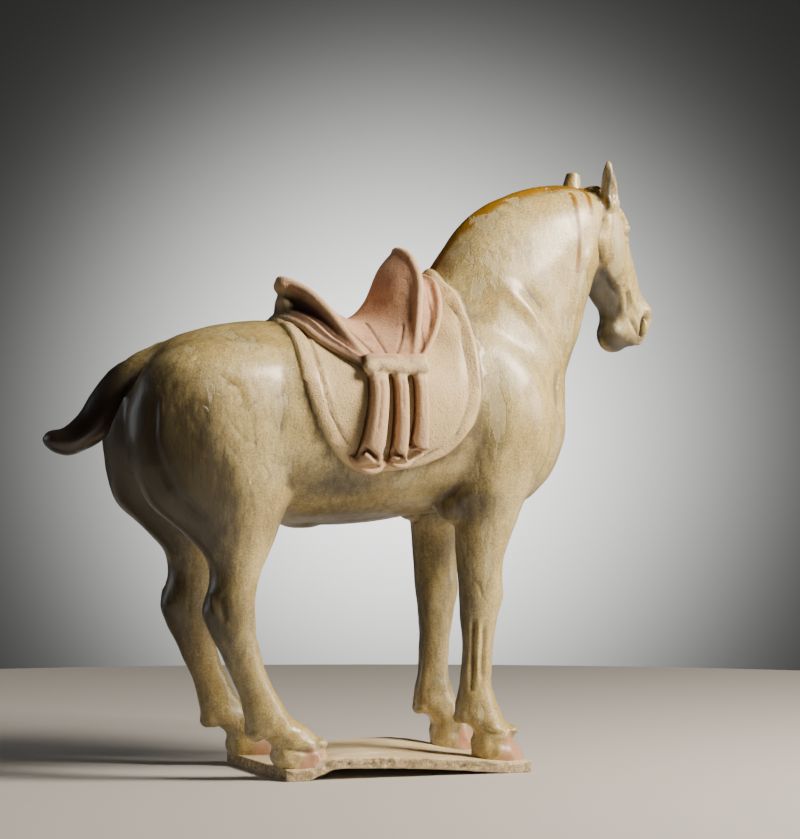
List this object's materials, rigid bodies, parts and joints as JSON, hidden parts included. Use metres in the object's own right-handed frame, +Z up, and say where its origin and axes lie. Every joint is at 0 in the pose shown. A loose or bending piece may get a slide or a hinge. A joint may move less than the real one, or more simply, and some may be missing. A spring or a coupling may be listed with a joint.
{
  "type": "glazed pottery horse figure",
  "caption": "Standing saddled horse of glazed earthenware on a thin rectangular base slab, its head turned to its left and one ear broken off.",
  "frame": {"origin": "bottom centre of the bounding box, on the plane that the slab rests on", "axes": "+Z up, +X the way the horse faces, +Y its left side"},
  "size_m": [0.3912, 0.145, 0.3676],
  "materials": {
    "straw_glaze": "thin crackled straw-coloured lead glaze over buff earthenware, amber where it pools and dark brown on the tail",
    "pink_saddle_clay": "unglazed earthenware with worn pink and red pigment",
    "bare_clay": "unglazed buff earthenware with earth in its pits"
  },
  "bodies": {
    "root": {"glazed_horse": "straw_glaze"}
  },
  "joints": []
}
